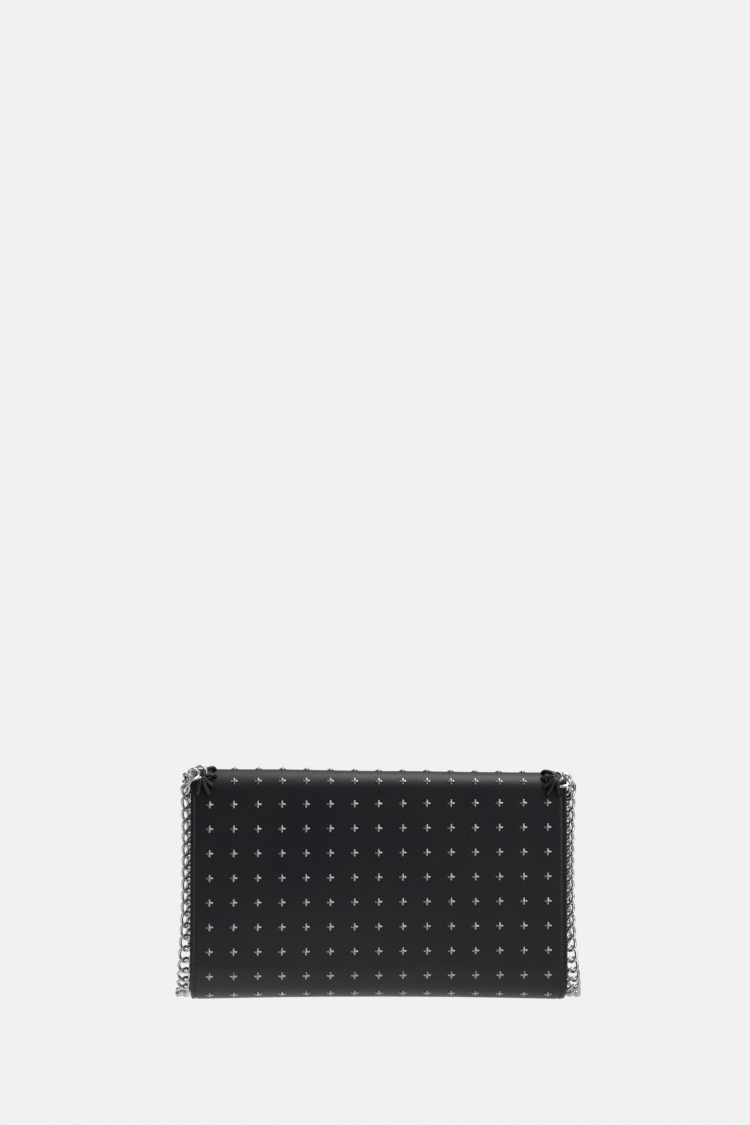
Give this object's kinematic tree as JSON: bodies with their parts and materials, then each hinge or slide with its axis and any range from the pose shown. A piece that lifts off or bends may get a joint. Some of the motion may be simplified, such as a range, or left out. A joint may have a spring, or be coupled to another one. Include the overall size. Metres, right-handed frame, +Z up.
{
  "type": "chain wallet",
  "caption": "Slim upright wallet with a studded leather shell, a flap edged in laced curb chain, side gussets, card pockets, an inner zip pocket and a chain strap.",
  "frame": {"origin": "on the flat base, midway across the width; the flat base face passes through it", "axes": "+X along the width, +Z up from the base to the top fold, +Y towards the flap; the plain studded back faces -Y"},
  "size_m": [0.2074, 0.1115, 0.118],
  "materials": {
    "outer_leather": "smooth black faux leather, fine grain, soft satin sheen",
    "inner_leather": "thin black faux leather, matte, fine grain",
    "lining": "black woven lining with a faint rib",
    "stud_metal": "polished nickel, slightly dark in the recesses",
    "chain_metal": "polished ruthenium-silver plate",
    "strap_chain": "polished silver curb chain",
    "lace_cord": "round black faux leather cord",
    "thread": "waxed black thread",
    "zip_fabric": "black herringbone zip tape",
    "hardware_metal": "polished nickel"
  },
  "bodies": {
    "wallet_body": {"back_panel": "outer_leather", "body_lining": "lining", "gusset_left": "inner_leather", "gusset_right": "inner_leather", "card_backing": "lining", "card_pockets_left": "inner_leather", "card_pockets_right": "inner_leather", "zip_pocket_back": "lining", "zip_pocket_front": "lining", "zip_pocket_edges": "lining", "zip_tapes": "zip_fabric", "zip_teeth": "hardware_metal", "zip_stops": "hardware_metal", "back_studs": "stud_metal", "seam_stitches": "thread", "corner_links_left": "chain_metal", "corner_links_right": "chain_metal", "corner_lace_left": "lace_cord", "corner_lace_right": "lace_cord", "strap_left": "strap_chain", "strap_right": "strap_chain", "strap_coil": "strap_chain"},
    "top_fold": {"top_strip": "outer_leather", "strip_lining": "lining"},
    "flap": {"flap_panel": "outer_leather", "flap_lining": "lining", "flap_fold": "outer_leather", "fold_lining": "lining", "fold_studs": "stud_metal", "fold_trim": "chain_metal", "flap_studs": "stud_metal", "flap_trim_left": "chain_metal", "flap_trim_bottom": "chain_metal", "flap_trim_right": "chain_metal", "flap_laces": "lace_cord", "snap_male": "hardware_metal"},
    "front_leaf": {"front_panel": "outer_leather", "front_lining": "lining", "snap_female": "hardware_metal"},
    "zip_slider": {"zip_slider": "hardware_metal"},
    "zip_pull": {"zip_pull": "hardware_metal"}
  },
  "joints": [
    {"name": "flap_open", "type": "hinge", "parent": "top_fold", "child": "flap", "pos_m": [0, 0.01405, 0.11383], "axis": [1, 0, 0], "range_deg": [0, 84], "deforming": ["flap_fold", "fold_lining", "fold_studs", "fold_trim"]},
    {"name": "top_fold_lift", "type": "hinge", "parent": "wallet_body", "child": "top_fold", "pos_m": [0, -0.0028, 0.1165], "axis": [1, 0, 0], "range_deg": [0, 84]},
    {"name": "front_leaf_tilt", "type": "hinge", "parent": "wallet_body", "child": "front_leaf", "pos_m": [0, 0.014, 0.0122], "axis": [-1, 0, 0], "range_deg": [0, 10.08], "deforming": ["gusset_left", "gusset_right"]},
    {"name": "zip_slide", "type": "slide", "parent": "wallet_body", "child": "zip_slider", "axis": [1, 0, 0], "range_m": [0, 0.122]},
    {"name": "zip_pull_swing", "type": "hinge", "parent": "zip_slider", "child": "zip_pull", "pos_m": [-0.062, 0.0015, 0.0937], "axis": [0, -1, 0], "range_deg": [0, 170]}
  ],
  "couplings": [
    {"joint": "top_fold_lift", "follows": "flap_open", "ratio": 1},
    {"joint": "front_leaf_tilt", "follows": "flap_open", "ratio": 0.12}
  ]
}
